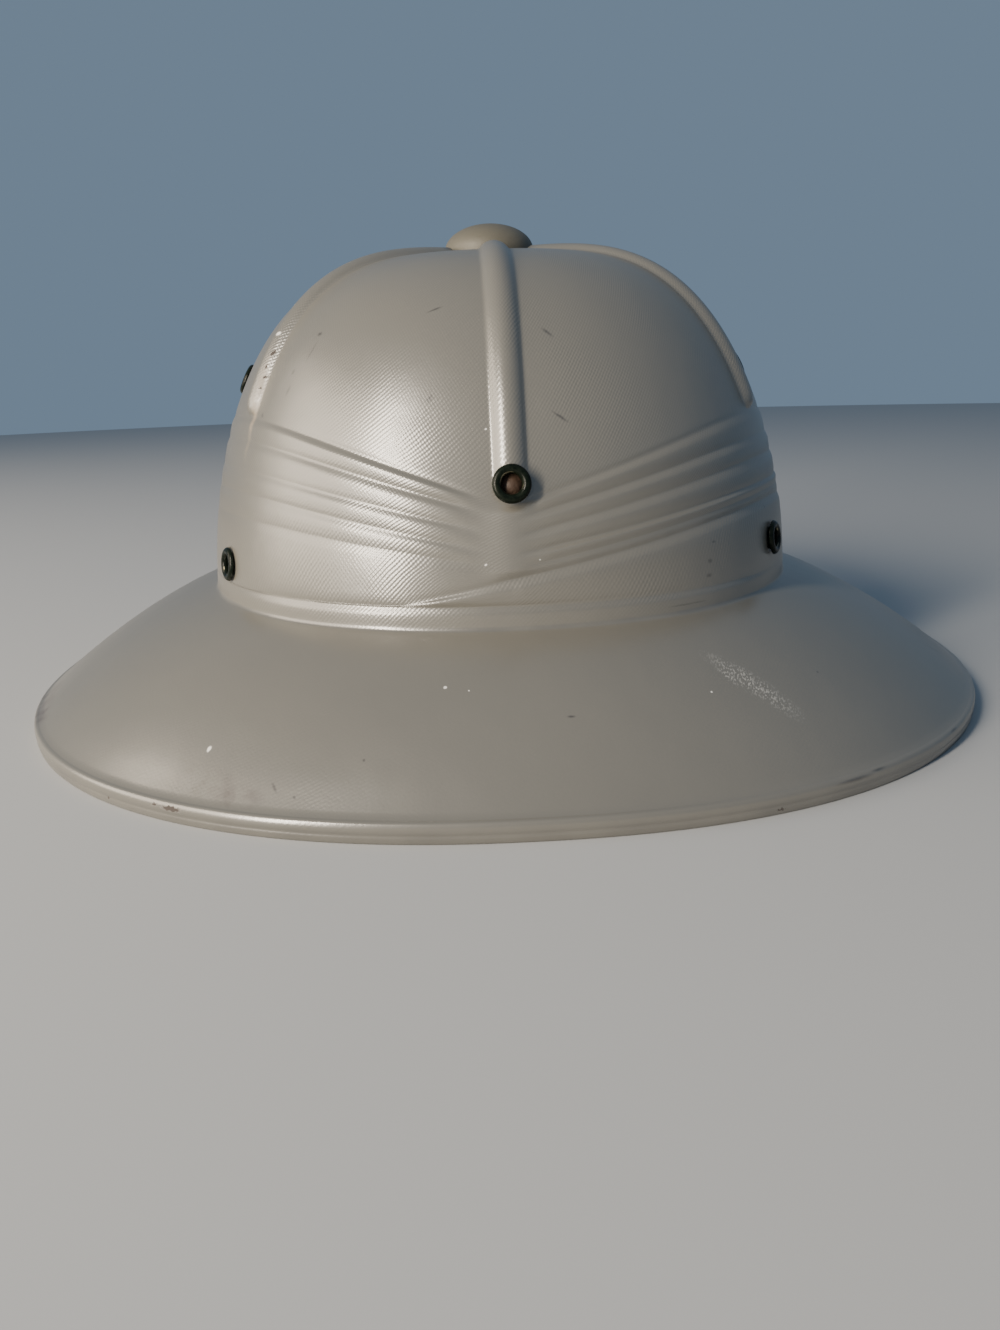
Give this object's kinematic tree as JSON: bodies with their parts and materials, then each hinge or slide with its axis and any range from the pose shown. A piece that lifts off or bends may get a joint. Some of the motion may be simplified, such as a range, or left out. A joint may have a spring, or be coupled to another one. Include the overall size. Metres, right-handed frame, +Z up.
{
  "type": "pith helmet",
  "caption": "Ribbed sun helmet of moulded fibre with a domed crown, pressed scarf folds, a sloping brim with a turned lip, a top button, vent eyelets and a leather sweatband",
  "frame": {"origin": "centre of the overall outline, on the flat surface that the brim's lip rests on", "axes": "+X towards the wearer's left, +Y towards the back, +Z up; the front with its eyelet faces -Y"},
  "size_m": [0.3062, 0.3158, 0.1459],
  "materials": {
    "shell_paint": "satin taupe paint over pressed fibre with a fine linen grain",
    "button_paint": "dull taupe paint, slightly browner than the shell",
    "eyelet_enamel": "glossy black-green enamel on rolled metal, worn at the inner rim",
    "band_leather": "worn brown leather"
  },
  "bodies": {
    "root": {"shell": "shell_paint", "top_button": "button_paint", "eyelet_front": "eyelet_enamel", "eyelet_low_right": "eyelet_enamel", "eyelet_low_left": "eyelet_enamel", "eyelet_high_right": "eyelet_enamel", "eyelet_high_left": "eyelet_enamel", "sweatband": "band_leather"}
  },
  "joints": []
}
